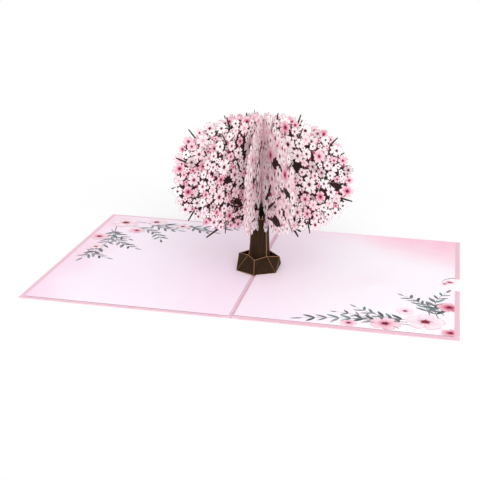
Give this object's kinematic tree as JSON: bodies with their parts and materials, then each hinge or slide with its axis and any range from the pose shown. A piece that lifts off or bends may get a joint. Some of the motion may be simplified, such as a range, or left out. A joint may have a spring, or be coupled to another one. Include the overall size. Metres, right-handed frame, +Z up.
{
  "type": "pop up card",
  "caption": "Open greeting card with a pop up blossom tree of slotted die-cut planes, a folded trunk and collar, and a note card that slides out of a pocket.",
  "frame": {"origin": "middle of the spine, on the underside of the cover", "axes": "+X across the open card to the right leaf, +Y along the spine to the back, +Z up through the tree"},
  "size_m": [0.254, 0.178, 0.1014],
  "materials": {
    "cover_card": "matt pink card",
    "panel_print": "matt printed paper",
    "mounting_tape": "matt white tape",
    "note_paper": "matt white card",
    "brown_card": "matt dark brown card",
    "blossom_card": "matt printed card"
  },
  "bodies": {
    "card": {"cover": "cover_card", "left_panel": "panel_print", "right_panel": "panel_print", "pocket_tape": "mounting_tape", "trunk": "brown_card", "collar": "brown_card", "blossom_plane_1": "blossom_card", "blossom_plane_2": "blossom_card", "blossom_plane_3": "blossom_card", "blossom_plane_4": "blossom_card", "blossom_plane_5": "blossom_card", "blossom_plane_6": "blossom_card"},
    "note": {"notecard": "note_paper"}
  },
  "joints": [
    {"name": "note_slide", "type": "slide", "parent": "card", "child": "note", "axis": [1, 0, 0], "range_m": [0, 0.09]}
  ]
}
